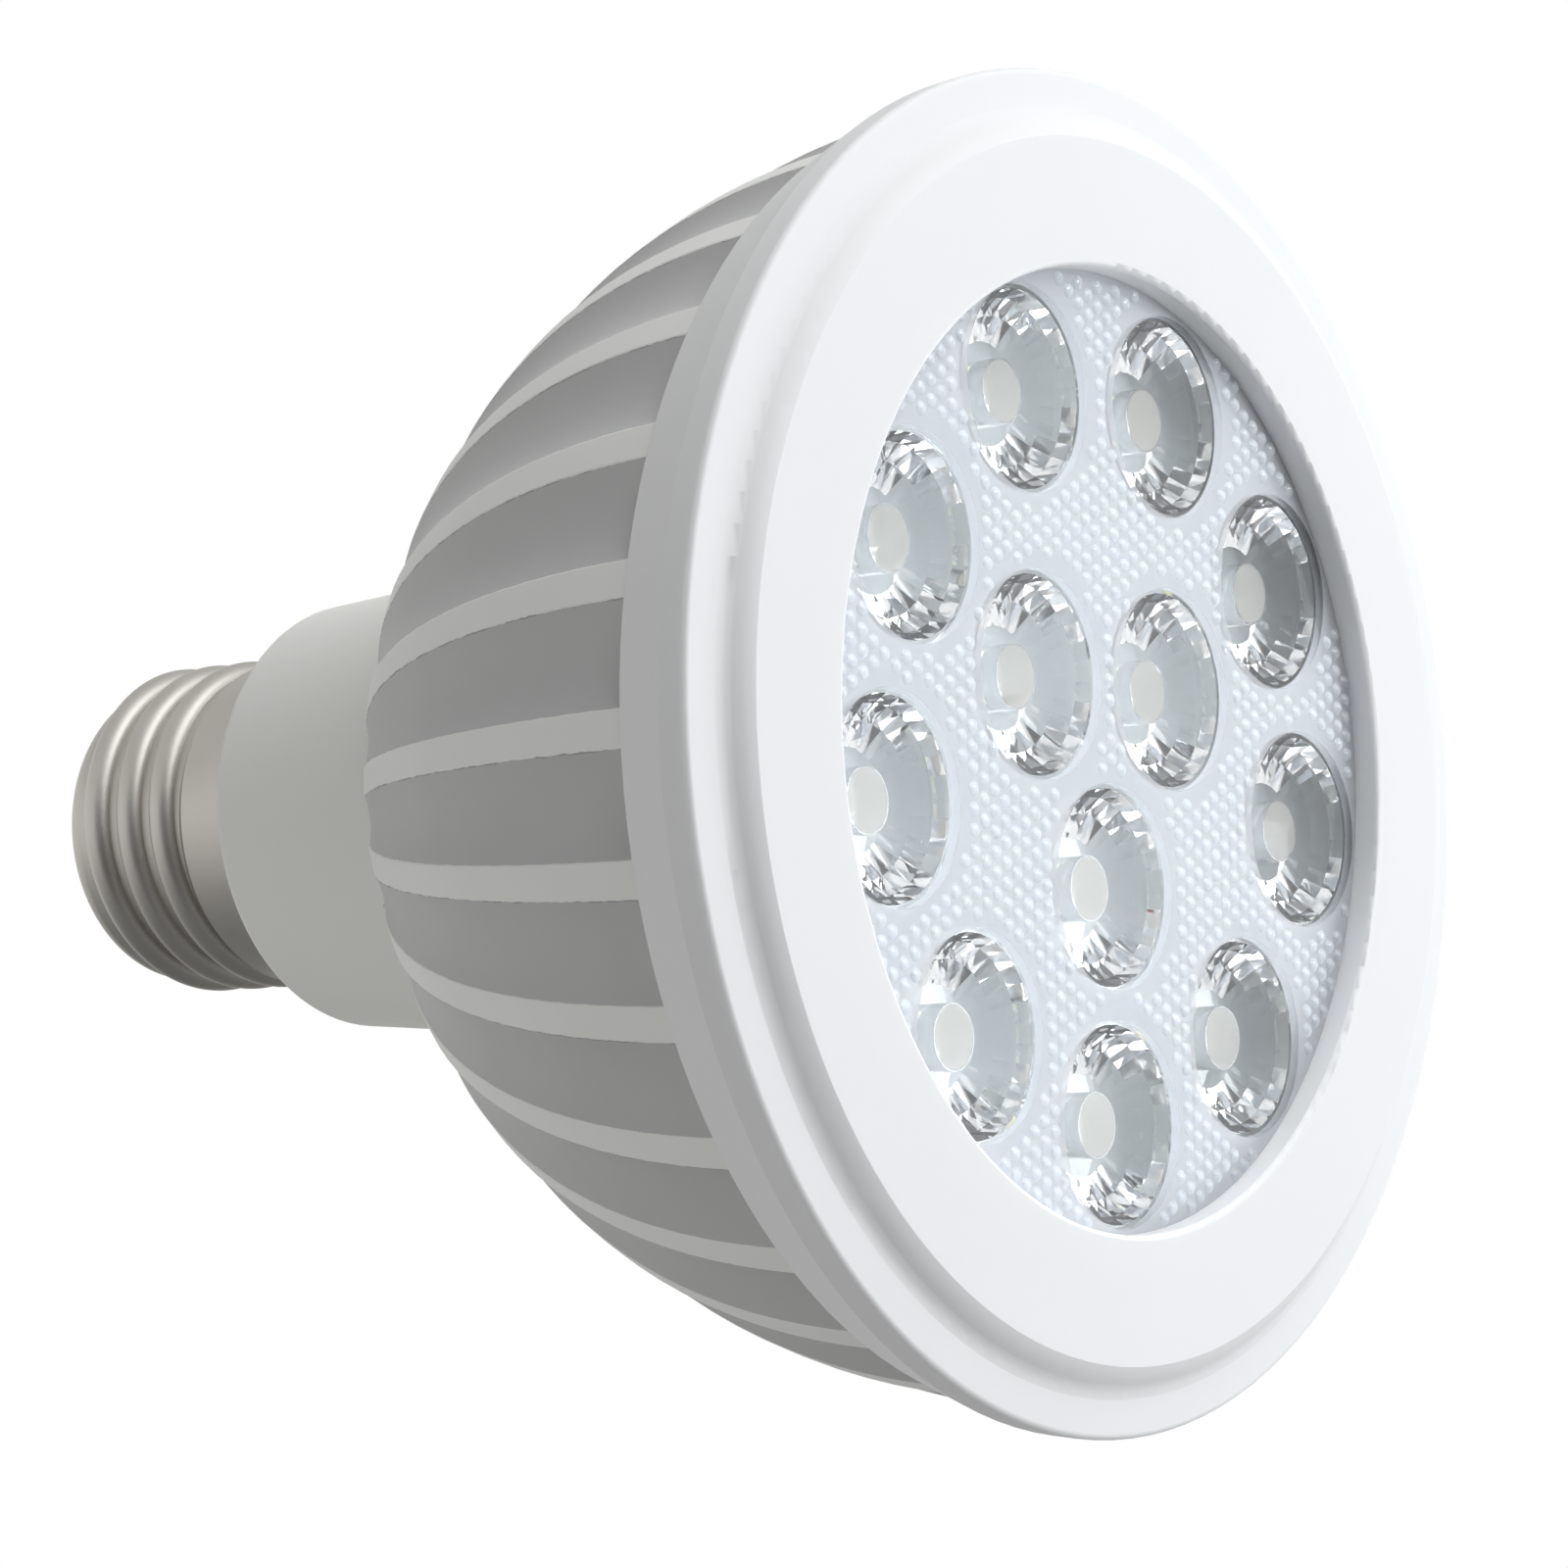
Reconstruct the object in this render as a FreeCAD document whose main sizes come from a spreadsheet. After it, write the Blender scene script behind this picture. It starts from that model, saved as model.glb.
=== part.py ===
"""LED reflector bulb with a die-cast fluted heat sink and a screw base.

The lamp stands on its front face: Z = 0 is the front plane, +Z runs along the
axis towards the screw base, and the origin is the centre of the front plane.
Lengths are in millimetres and angles in degrees.
"""
import FreeCAD, Part
import math
import os
import re
import Sketcher

SIZES = {
    # Front bezel, from the rim inwards
    "rim_radius": 47.3,
    "rim_round": 0.45,
    "flange_width": 2.25,
    "flange_rise": 0.17,
    "cove_width": 1.0,
    "cove_rise": 0.495,
    "cove_round": 1.5,
    "step_width": 1.25,
    "step_rise": 0.95,
    "step_round": 4.2,
    "face_width": 8.9,
    "face_dish": 0.1,
    "face_land_width": 2.55,
    "window_edge_round": 0.4,
    "bezel_depth": 8.45,
    "bezel_taper": 1.9,
    "band_height": 4.0,
    "band_taper": 0.15,
    "bezel_overlap": 0.1,
    "bezel_wall": 1.8,
    # Clear lens moulding
    "lens_seat_height": 2.0,
    "lens_plate_lap": 4.55,
    "lens_plate_thickness": 1.5,
    "outer_ring_share": 0.7737,
    "inner_ring_share": 0.284,
    "outer_lens_count": 9,
    "inner_lens_count": 3,
    "first_lens_angle": 90,
    "collimator_share": 0.2135,
    "collimator_shoulder_width": 0.8,
    "collimator_shoulder_share": 0.3,
    "collimator_waist_width": 1.9,
    "collimator_waist_share": 0.66,
    "collimator_foot_width": 3.5,
    "collimator_height": 6.5,
    "collimator_facets": 30,
    "recess_radius": 2.3,
    "recess_depth": 3.2,
    "lens_post_radius": 1.3,
    "lens_post_inset": 3.0,
    "lens_post_count": 3,
    "lens_post_angle": 30,
    # LED board, emitters and thermal pad
    "lens_board_gap": 0.8,
    "board_clearance": 0.4,
    "board_thickness": 1.6,
    "led_side": 3.5,
    "led_base_thickness": 0.7,
    "led_dome_radius": 1.3,
    "pad_thickness": 0.4,
    "pad_margin": 0.8,
    # Screws
    "screw_radius": 1.5,
    "screw_head_radius": 2.75,
    "screw_head_height": 1.9,
    "screw_socket_radius": 1.1,
    "screw_hole_clearance": 0.05,
    "screw_tip_clearance": 0.4,
    "board_screw_count": 3,
    "board_screw_inset": 3.3,
    "board_screw_angle": 110,
    "board_screw_length": 4.6,
    "housing_screw_count": 2,
    "housing_screw_ring_radius": 11.4,
    "housing_screw_angle": 90,
    "housing_screw_length": 10.0,
    "counterbore_clearance": 0.2,
    # Die-cast heat sink
    "bowl_arc_height": 3.65,
    "bowl_rear_height": 53.1,
    "bowl_rear_radius": 20.08,
    "bowl_rear_round": 1.6,
    "bowl_wall": 3.2,
    "bowl_rear_web": 3.2,
    "lip_clearance": 0.2,
    "lens_rest_width": 1.3,
    "platform_thickness": 3.5,
    "wire_hole_radius": 3.6,
    "rib_count": 30,
    "rib_phase": -0.75,
    "rib_front_width": 1.75,
    "rib_rear_width": 1.25,
    "flute_round_share": 0.19,
    "flute_lap": 0.4,
    "flute_overrun": 0.3,
    # Plastic driver housing
    "housing_fit": 0.2,
    "housing_gap": 0.1,
    "cup_radius": 15.8,
    "cup_wall": 1.8,
    "neck_front_radius": 18.0,
    "neck_rear_radius": 16.7,
    "neck_length": 19.7,
    "neck_edge_round": 1.2,
    "neck_end_wall": 2.4,
    "shell_seat_step": 0.2,
    "shell_seat_length": 5.5,
    "stub_clearance": 0.2,
    "stub_wall": 1.4,
    "stub_length": 15.0,
    "boss_radius": 3.0,
    "boss_length": 11.0,
    # Screw shell, insulator and contact
    "shell_wall": 0.4,
    "shell_fit": 0.1,
    "shell_length": 21.3,
    "thread_root_radius": 12.2,
    "thread_depth": 1.0,
    "thread_pitch": 3.63,
    "thread_start": 8.0,
    "thread_length": 10.3,
    "thread_ridge_width": 2.5,
    "shell_end_taper": 1.3,
    "shell_end_round": 1.9,
    "insulator_seat_depth": 1.6,
    "insulator_tip_radius": 5.2,
    "insulator_height": 3.0,
    "contact_radius": 4.8,
    "contact_height": 1.5,
    "contact_round": 0.9,
    "contact_bore_radius": 1.0,
    # Driver board and its components, placed by their share of the board's length
    "driver_board_offset": 3.0,
    "driver_board_thickness": 1.6,
    "driver_board_half_width": 13.1,
    "driver_board_front_clearance": 7.6,
    "driver_board_end_clearance": 2.5,
    "core_width": 13.0,
    "core_length_share": 0.295,
    "core_depth": 5.5,
    "core_leg": 3.0,
    "core_yoke": 3.0,
    "core_start_share": 0.273,
    "core_standoff": 3.0,
    "winding_width": 8.2,
    "winding_depth": 11.5,
    "winding_gap": 0.1,
    "input_capacitor_radius": 5.0,
    "input_capacitor_side": 6.2,
    "input_capacitor_length_share": 0.341,
    "input_capacitor_start_share": 0.602,
    "output_capacitor_radius": 4.0,
    "output_capacitor_side": 6.0,
    "output_capacitor_length_share": 0.273,
    "output_capacitor_start_share": 0.636,
    "choke_radius_share": 0.091,
    "choke_waist_share": 0.059,
    "choke_height": 9.0,
    "choke_flange": 1.4,
    "choke_side": 7.0,
    "choke_centre_share": 0.148,
    "film_capacitor_width": 9.0,
    "film_capacitor_depth": 8.0,
    "film_capacitor_side": 7.0,
    "film_capacitor_length_share": 0.114,
    "film_capacitor_start_share": 0.102,
    "rectifier_width": 6.5,
    "rectifier_depth": 2.4,
    "rectifier_side": 5.0,
    "rectifier_length_share": 0.114,
    "rectifier_start_share": 0.75,
    "chip_width": 5.0,
    "chip_depth": 1.6,
    "chip_side": 4.0,
    "chip_length_share": 0.091,
    "chip_start_share": 0.682,
    "transistor_width": 6.6,
    "transistor_depth": 2.3,
    "transistor_side": 4.0,
    "transistor_length_share": 0.139,
    "transistor_start_share": 0.386,
    # Internal wires
    "wire_radius": 0.65,
    "wire_gap": 0.05,
    "wire_lap": 3.5,
    "wire_bend_radius": 4.0,
    "wire_end_gap": 0.1,
    "led_wire_side": 1.2,
    "led_wire_stub": 0.9,
    "solder_radius": 1.1,
    "neutral_wire_side": 5.0,
    "live_wire_crossing_gap": 5.1,
    "live_wire_crossing_length": 8.0,
}

doc = FreeCAD.newDocument("led_reflector_bulb")
sheet = doc.addObject("Spreadsheet::Sheet", "Sizes")
for row, (alias, number) in enumerate(SIZES.items(), 1):
    sheet.set(f"A{row}", alias)
    sheet.set(f"B{row}", str(number))
    sheet.setAlias(f"B{row}", alias)
doc.recompute()

SUB_PARTS = []


def sized(text):
    """The expression with each size's name pointing at its cell."""
    return re.sub(r"\b(?!pi\b)[a-z]\w*\b(?!\()", r"Sizes.\g<0>", str(text))


def value(text):
    """The number that an expression gives now."""
    return float(sheet.evalExpression(sized(text)))


def bind(thing, **expressions):
    """Tie properties of an object to the sheet; a double underscore stands for a dot."""
    for name, text in expressions.items():
        thing.setExpression(name.replace("__", "."), sized(text))


def place(thing, x="0", y="0", z="0"):
    """Tie an object's position to the sheet."""
    thing.setExpression(".Placement.Base.x", sized(x))
    thing.setExpression(".Placement.Base.y", sized(y))
    thing.setExpression(".Placement.Base.z", sized(z))


def sub_part(thing, label):
    """Name a finished sub-part and list it for export."""
    thing.Label = label
    SUB_PARTS.append(thing)
    return thing


def new_body(label):
    """A new body, listed under its label."""
    return sub_part(doc.addObject("PartDesign::Body", label), label)


def origin_feature(body, role):
    """One of the body's own origin planes or axes."""
    return next(item for item in body.Origin.OriginFeatures if item.Role == role)


def outline(body, name, corners, bends=None, plane="XZ_Plane"):
    """A closed sketch through the corners.

    A corner is a pair of expressions. bends gives, for a side's number, the radius of
    the arc that replaces the straight side; a minus sign bulges it the other way.
    """
    bends = bends or {}
    sketch = body.newObject("Sketcher::SketchObject", name)
    sketch.AttachmentSupport = [(origin_feature(body, plane), "")]
    sketch.MapMode = "FlatFace"
    points = [FreeCAD.Vector(value(x), value(y), 0) for x, y in corners]
    starts, ends = [], []
    for side, start in enumerate(points):
        end = points[(side + 1) % len(points)]
        backwards = side in bends and bends[side].startswith("-")
        if side in bends:
            first, last = (end, start) if backwards else (start, end)
            radius = value(bends[side].lstrip("-"))
            chord = last - first
            reach = math.sqrt(radius ** 2 - (chord.Length / 2) ** 2)
            centre = (first + last) * 0.5 + FreeCAD.Vector(-chord.y, chord.x, 0).normalize() * reach
            angles = [math.atan2(point.y - centre.y, point.x - centre.x) for point in (first, last)]
            circle = Part.Circle(centre, FreeCAD.Vector(0, 0, 1), radius)
            sketch.addGeometry(Part.ArcOfCircle(circle, angles[0], angles[1]))
        else:
            sketch.addGeometry(Part.LineSegment(start, end))
        starts.append(2 if backwards else 1)
        ends.append(1 if backwards else 2)
    for side in range(len(points)):
        after = (side + 1) % len(points)
        sketch.addConstraint(Sketcher.Constraint("Coincident", side, ends[side], after, starts[after]))
    for side, (x, y) in enumerate(corners):
        for kind, text, number in (("DistanceX", x, points[side].x), ("DistanceY", y, points[side].y)):
            index = sketch.addConstraint(
                Sketcher.Constraint(kind, -1, 1, side, starts[side], number))
            sketch.setExpression(f"Constraints[{index}]", sized(text))
    for side, text in bends.items():
        radius_text = text.lstrip("-")
        index = sketch.addConstraint(Sketcher.Constraint("Radius", side, value(radius_text)))
        sketch.setExpression(f"Constraints[{index}]", sized(radius_text))
    return sketch


def revolve(body, name, corners, bends=None):
    """Turn an outline, given as radius and height, about the body's axis."""
    sketch = outline(body, name + "_outline", corners, bends)
    turned = body.newObject("PartDesign::Revolution", name)
    turned.Profile = sketch
    turned.ReferenceAxis = (sketch, ["V_Axis"])
    turned.Angle = 360
    return turned


def primitive(body, kind, name, x="0", y="0", z="0", **expressions):
    """Add or take away a primitive at its place in the body."""
    thing = body.newObject("PartDesign::" + kind, name)
    bind(thing, **expressions)
    place(thing, x, y, z)
    return thing


def level_outline(body, name, height, corners, bends=None):
    """A closed sketch through the corners in a level plane."""
    sketch = outline(body, name, corners, bends, "XY_Plane")
    sketch.setExpression(".AttachmentOffset.Base.z", sized(height))
    return sketch


def around(body, name, originals, count):
    """Repeat features round the body's axis."""
    pattern = body.newObject("PartDesign::PolarPattern", name)
    pattern.Originals = originals
    pattern.Axis = (origin_feature(body, "Z_Axis"), [""])
    pattern.Angle = 360
    bind(pattern, Occurrences=count)
    body.Tip = pattern
    return pattern


def ring_place(radius, angle):
    """The x and y expressions of a point on a ring."""
    return f"{radius} * cos({angle})", f"{radius} * sin({angle})"


def swung(x, y, angle):
    """The expressions of a point swung about the axis by an angle."""
    return (f"{x} * cos({angle}) - ({y}) * sin({angle})",
            f"{x} * sin({angle}) + ({y}) * cos({angle})")


FLANGE_RADIUS = "(rim_radius - rim_round)"
COVE_RADIUS = f"({FLANGE_RADIUS} - flange_width)"
STEP_FOOT_RADIUS = f"({COVE_RADIUS} - cove_width)"
STEP_TOP_RADIUS = f"({STEP_FOOT_RADIUS} - step_width)"
STEP_FOOT_HEIGHT = "(face_dish + step_rise)"
FLANGE_HEIGHT = f"({STEP_FOOT_HEIGHT} + cove_rise + flange_rise)"
WINDOW_RADIUS = f"({STEP_TOP_RADIUS} - face_width)"
BEZEL_REAR_RADIUS = "(rim_radius - bezel_taper)"
LENS_BACK = "(lens_seat_height + lens_plate_thickness)"
LENS_FOOT = f"({LENS_BACK} + collimator_height)"
LENS_RADIUS = f"({WINDOW_RADIUS} + lens_plate_lap)"
OUTER_RING_RADIUS = f"({WINDOW_RADIUS} * outer_ring_share)"
INNER_RING_RADIUS = f"({WINDOW_RADIUS} * inner_ring_share)"
COLLIMATOR_RADIUS = f"({WINDOW_RADIUS} * collimator_share)"
BOARD_FRONT = f"({LENS_FOOT} + lens_board_gap)"
PAD_FRONT = f"({BOARD_FRONT} + board_thickness)"
PLATFORM_FRONT = f"({PAD_FRONT} + pad_thickness)"
PLATFORM_BACK = f"({PLATFORM_FRONT} + platform_thickness)"
LIP_INNER_RADIUS = f"({LENS_RADIUS} - lens_rest_width)"
BOARD_RADIUS = f"({LIP_INNER_RADIUS} - board_clearance)"
BOARD_SCREW_RING = f"({BOARD_RADIUS} - board_screw_inset)"
HOUSING_FRONT = f"({PLATFORM_BACK} + housing_gap)"
NECK_FRONT = "(bowl_rear_height + housing_gap)"
NECK_REAR = f"({NECK_FRONT} + neck_length)"
SHELL_SEAT_RADIUS = "(thread_root_radius + shell_seat_step)"
SHELL_END_RADIUS = "(thread_root_radius - shell_end_taper)"
STUB_RADIUS = "(thread_root_radius - shell_wall - stub_clearance)"

# The bowl's arc runs from behind the bezel to the neck, about a centre near the front.
BOWL_FRONT_RADIUS = f"({BEZEL_REAR_RADIUS} - bezel_overlap)"
FRONT_REACH = "(bezel_depth - bowl_arc_height)"
REAR_REACH = "(bowl_rear_height - bowl_arc_height)"
BOWL_ARC_CENTRE = (f"(({BOWL_FRONT_RADIUS} ^ 2 - bowl_rear_radius ^ 2 + {FRONT_REACH} ^ 2"
                   f" - {REAR_REACH} ^ 2) / (2 * ({BOWL_FRONT_RADIUS} - bowl_rear_radius)))")
BOWL_ARC_RADIUS = f"sqrt(({BOWL_FRONT_RADIUS} - {BOWL_ARC_CENTRE}) ^ 2 + {FRONT_REACH} ^ 2)"


def bowl_radius(height, inset="0"):
    """The bowl's radius at a height, measured on its arc or inside it by the inset."""
    return (f"(sqrt(({BOWL_ARC_RADIUS} - {inset}) ^ 2 - ({height} - bowl_arc_height) ^ 2)"
            f" + {BOWL_ARC_CENTRE})")


# Front bezel: one white moulding with a raised face round the window, a bowed step and a
# cove down to a narrow flange, a rounded rim, and a short band and a skirt that laps the bowl.
bezel = new_body("bezel_ring")
revolve(bezel, "bezel_section", [
    (WINDOW_RADIUS, "window_edge_round"),
    (f"{WINDOW_RADIUS} + window_edge_round", "0"),
    (f"{WINDOW_RADIUS} + face_land_width", "0"),
    (STEP_TOP_RADIUS, "face_dish"),
    (STEP_FOOT_RADIUS, STEP_FOOT_HEIGHT),
    (COVE_RADIUS, f"{STEP_FOOT_HEIGHT} + cove_rise"),
    (FLANGE_RADIUS, FLANGE_HEIGHT),
    ("rim_radius", f"{FLANGE_HEIGHT} + rim_round"),
    ("rim_radius - band_taper", "band_height"),
    (BEZEL_REAR_RADIUS, "bezel_depth"),
    (f"{BEZEL_REAR_RADIUS} - bezel_wall", "bezel_depth"),
    ("rim_radius - bezel_wall - window_edge_round", LENS_BACK),
    (f"{LENS_RADIUS} + lip_clearance", LENS_BACK),
    (f"{LENS_RADIUS} + lip_clearance", "lens_seat_height"),
    (WINDOW_RADIUS, "lens_seat_height"),
], {0: "window_edge_round", 3: "step_round", 4: "-cove_round", 6: "rim_round"})

# Clear lens: a plate clamped behind the bezel, with faceted collimators that reach
# towards the emitters, a recess over each emitter and three posts on the board.
lens = new_body("collimator_lens")
revolve(lens, "lens_plate", [
    ("0", "lens_seat_height"),
    (LENS_RADIUS, "lens_seat_height"),
    (LENS_RADIUS, LENS_BACK),
    ("0", LENS_BACK),
])


def facet_ring(body, name, x, y, height, radius):
    """A regular polygon in a level plane, about a point of that plane."""
    sides = int(value("collimator_facets"))
    corners = [(f"{radius} * cos(360 * {side} / collimator_facets)",
                f"{radius} * sin(360 * {side} / collimator_facets)") for side in range(sides)]
    sketch = outline(body, name, corners, plane="XY_Plane")
    sketch.setExpression(".AttachmentOffset.Base.x", sized(x))
    sketch.setExpression(".AttachmentOffset.Base.y", sized(y))
    sketch.setExpression(".AttachmentOffset.Base.z", sized(height))
    return sketch


def collimators(group, ring_radius, count):
    """One faceted collimator with its recess, repeated round the lens."""
    x, y = ring_place(ring_radius, "first_lens_angle")
    rings = [
        facet_ring(lens, f"{group}_mouth", x, y, f"{LENS_BACK} - lens_plate_thickness / 2",
                   COLLIMATOR_RADIUS),
        facet_ring(lens, f"{group}_shoulder", x, y,
                   f"{LENS_BACK} + collimator_height * collimator_shoulder_share",
                   f"({COLLIMATOR_RADIUS} - collimator_shoulder_width)"),
        facet_ring(lens, f"{group}_waist", x, y,
                   f"{LENS_BACK} + collimator_height * collimator_waist_share",
                   f"({COLLIMATOR_RADIUS} - collimator_waist_width)"),
        facet_ring(lens, f"{group}_foot", x, y, LENS_FOOT,
                   f"({COLLIMATOR_RADIUS} - collimator_foot_width)"),
    ]
    horn = lens.newObject("PartDesign::AdditiveLoft", f"{group}_horn")
    horn.Profile = rings[0]
    horn.Sections = rings[1:]
    horn.Ruled = True
    around(lens, f"{group}_horns", [horn], count)
    recess = primitive(lens, "SubtractiveCylinder", f"{group}_recess", x, y,
                       f"{LENS_FOOT} - recess_depth",
                       Radius="recess_radius", Height="recess_depth")
    around(lens, f"{group}_recesses", [recess], count)


collimators("outer", OUTER_RING_RADIUS, "outer_lens_count")
collimators("inner", INNER_RING_RADIUS, "inner_lens_count")
post_x, post_y = ring_place(f"({LENS_RADIUS} - lens_post_inset)", "lens_post_angle")
post = primitive(lens, "AdditiveCylinder", "lens_post", post_x, post_y, LENS_BACK,
                 Radius="lens_post_radius", Height="collimator_height + lens_board_gap")
around(lens, "lens_posts", [post], "lens_post_count")

# LED board: an aluminium disc with holes for its screws and for the two wires.
WIRE_LINE = "(wire_radius + wire_gap - driver_board_offset)"


def drilled_disc(label, radius, bottom, thickness):
    """A disc with the board's screw holes."""
    body = new_body(label)
    primitive(body, "AdditiveCylinder", f"{label}_disc", z=bottom, Radius=radius, Height=thickness)
    x, y = ring_place(BOARD_SCREW_RING, "board_screw_angle")
    hole = primitive(body, "SubtractiveCylinder", f"{label}_screw_hole", x, y, bottom,
                     Radius="screw_radius + screw_hole_clearance", Height=thickness)
    around(body, f"{label}_screw_holes", [hole], "board_screw_count")
    return body


led_board = drilled_disc("led_board", BOARD_RADIUS, BOARD_FRONT, "board_thickness")
wire_hole = primitive(led_board, "SubtractiveCylinder", "board_wire_hole",
                      "led_wire_side", WIRE_LINE, BOARD_FRONT,
                      Radius="wire_radius + wire_gap", Height="board_thickness")
second_wire_hole = primitive(led_board, "SubtractiveCylinder", "board_second_wire_hole",
                             "-led_wire_side", WIRE_LINE, BOARD_FRONT,
                             Radius="wire_radius + wire_gap", Height="board_thickness")

# Thermal pad: a soft sheet between the board and the casting.
thermal_pad = drilled_disc("thermal_pad", f"{BOARD_RADIUS} - pad_margin", PAD_FRONT, "pad_thickness")
primitive(thermal_pad, "SubtractiveCylinder", "pad_wire_hole", z=PAD_FRONT,
          Radius="wire_hole_radius", Height="pad_thickness")


# Emitters: a square ceramic base with a clear dome, soldered on the board.
def emitter(label, ring_radius, angle):
    """One emitter on the board, its dome towards the lens."""
    body = new_body(label)
    x, y = ring_place(ring_radius, angle)
    primitive(body, "AdditiveBox", f"{label}_base", "-led_side / 2", "-led_side / 2",
              "-led_base_thickness",
              Length="led_side", Width="led_side", Height="led_base_thickness")
    dome = primitive(body, "AdditiveSphere", f"{label}_dome", z="-led_base_thickness",
                     Radius="led_dome_radius", Angle2="0")
    dome.Angle1 = -90
    place(body, x, y, BOARD_FRONT)


RINGS = [(OUTER_RING_RADIUS, "outer_lens_count"), (INNER_RING_RADIUS, "inner_lens_count")]
emitter_number = 0
for ring_radius, ring_count in RINGS:
    for turn in range(int(value(ring_count))):
        emitter_number += 1
        emitter(f"led_{emitter_number:02d}", ring_radius,
                f"first_lens_angle + 360 * {turn} / {ring_count}")


# Screws: pan heads with a round socket, threads left plain.
def screw_group(label, head_base, shank_length, ring_radius, angle, count):
    """Equal screws on a ring, heads towards the front."""
    screws = []
    for number in range(int(value(count))):
        x, y = ring_place(ring_radius, f"({angle} + 360 * {number} / {count})")
        head = doc.addObject("Part::Cylinder", f"{label}_head_{number}")
        bind(head, Radius="screw_head_radius", Height="screw_head_height")
        place(head, x, y, f"{head_base} - screw_head_height")
        socket = doc.addObject("Part::Cylinder", f"{label}_socket_{number}")
        bind(socket, Radius="screw_socket_radius", Height="screw_head_height / 2")
        place(socket, x, y, f"{head_base} - screw_head_height")
        shank = doc.addObject("Part::Cylinder", f"{label}_shank_{number}")
        bind(shank, Radius="screw_radius", Height=shank_length)
        place(shank, x, y, head_base)
        drilled_head = doc.addObject("Part::Cut", f"{label}_drilled_{number}")
        drilled_head.Base = head
        drilled_head.Tool = socket
        screw = doc.addObject("Part::Fuse", f"{label}_{number}")
        screw.Base = drilled_head
        screw.Tool = shank
        screws.append(screw)
    group = doc.addObject("Part::Compound", label)
    group.Links = screws
    return sub_part(group, label)


screw_group("board_screws", BOARD_FRONT, "board_screw_length", BOARD_SCREW_RING,
            "board_screw_angle", "board_screw_count")
HOUSING_SCREW_SEAT = f"({PLATFORM_FRONT} + screw_head_height + counterbore_clearance)"
screw_group("housing_screws", HOUSING_SCREW_SEAT, "housing_screw_length",
            "housing_screw_ring_radius", "housing_screw_angle", "housing_screw_count")

# Heat sink: one aluminium casting. A lip carries the lens and takes the bezel, a platform
# carries the board, and thirty ribs are left between flutes that run out towards the neck.
BORE_RADIUS = "(cup_radius + housing_fit)"
REAR_EDGE_RADIUS = bowl_radius("(bowl_rear_height - bowl_rear_round)")
LIP_RADIUS = f"({BEZEL_REAR_RADIUS} - bezel_wall - lip_clearance)"
INNER_REAR_HEIGHT = "(bowl_rear_height - bowl_rear_web)"
heat_sink = new_body("heat_sink")
revolve(heat_sink, "bowl", [
    ("wire_hole_radius", PLATFORM_FRONT),
    (LIP_INNER_RADIUS, PLATFORM_FRONT),
    (LIP_INNER_RADIUS, LENS_BACK),
    (LIP_RADIUS, LENS_BACK),
    (LIP_RADIUS, "bezel_depth"),
    (BOWL_FRONT_RADIUS, "bezel_depth"),
    (REAR_EDGE_RADIUS, "bowl_rear_height - bowl_rear_round"),
    (f"{REAR_EDGE_RADIUS} - bowl_rear_round * 1.2", "bowl_rear_height"),
    (BORE_RADIUS, "bowl_rear_height"),
    (BORE_RADIUS, INNER_REAR_HEIGHT),
    (bowl_radius(INNER_REAR_HEIGHT, "bowl_wall"), INNER_REAR_HEIGHT),
    (bowl_radius(PLATFORM_BACK, "bowl_wall"), PLATFORM_BACK),
    ("wire_hole_radius", PLATFORM_BACK),
], {5: BOWL_ARC_RADIUS, 6: "bowl_rear_round * 1.6", 10: f"-({BOWL_ARC_RADIUS} - bowl_wall)"})
FLUTE_ANGLE = "(rib_phase + 180 / rib_count)"
flute_sections = []
for number, share in enumerate((0, 0.27, 0.53, 0.78, 1)):
    overrun = {0: " - flute_overrun", 1: " + flute_overrun"}.get(share, "")
    height = f"(bezel_depth + (bowl_rear_height - bezel_depth) * {share}{overrun})"
    reach = bowl_radius(height)
    scoop = f"({reach} * flute_round_share)"
    rib_width = f"(rib_front_width + (rib_rear_width - rib_front_width) * {share})"
    half_width = f"(pi * {reach} / rib_count - {rib_width} / 2)"
    flank = f"({half_width} + flute_lap)"
    flank_reach = (f"({reach} + sqrt({scoop} * {scoop} - {half_width} * {half_width})"
                   f" - sqrt({scoop} * {scoop} - {flank} * {flank}))")
    outside = f"({flank_reach} + flute_lap * 4)"
    flute_sections.append(level_outline(heat_sink, f"flute_section_{number}", height, [
        swung(outside, f"-{flank}", FLUTE_ANGLE),
        swung(outside, flank, FLUTE_ANGLE),
        swung(flank_reach, flank, FLUTE_ANGLE),
        swung(flank_reach, f"-{flank}", FLUTE_ANGLE),
    ], {2: scoop}))
flute = heat_sink.newObject("PartDesign::SubtractiveLoft", "flute")
flute.Profile = flute_sections[0]
flute.Sections = flute_sections[1:]
around(heat_sink, "flutes", [flute], "rib_count")
tap_x, tap_y = ring_place(BOARD_SCREW_RING, "board_screw_angle")
tapped = primitive(heat_sink, "SubtractiveCylinder", "board_screw_tapping", tap_x, tap_y,
                   PLATFORM_FRONT, Radius="screw_radius + screw_hole_clearance",
                   Height="board_screw_length - board_thickness - pad_thickness"
                          " + screw_tip_clearance")
around(heat_sink, "board_screw_tappings", [tapped], "board_screw_count")
bore_x, bore_y = ring_place("housing_screw_ring_radius", "housing_screw_angle")
head_pocket = primitive(heat_sink, "SubtractiveCylinder", "housing_screw_pocket", bore_x, bore_y,
                        PLATFORM_FRONT, Radius="screw_head_radius + counterbore_clearance",
                        Height="screw_head_height + counterbore_clearance")
shank_hole = primitive(heat_sink, "SubtractiveCylinder", "housing_screw_hole", bore_x, bore_y,
                       PLATFORM_FRONT, Radius="screw_radius + screw_hole_clearance",
                       Height="platform_thickness")
around(heat_sink, "housing_screw_seats", [head_pocket, shank_hole], "housing_screw_count")

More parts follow.
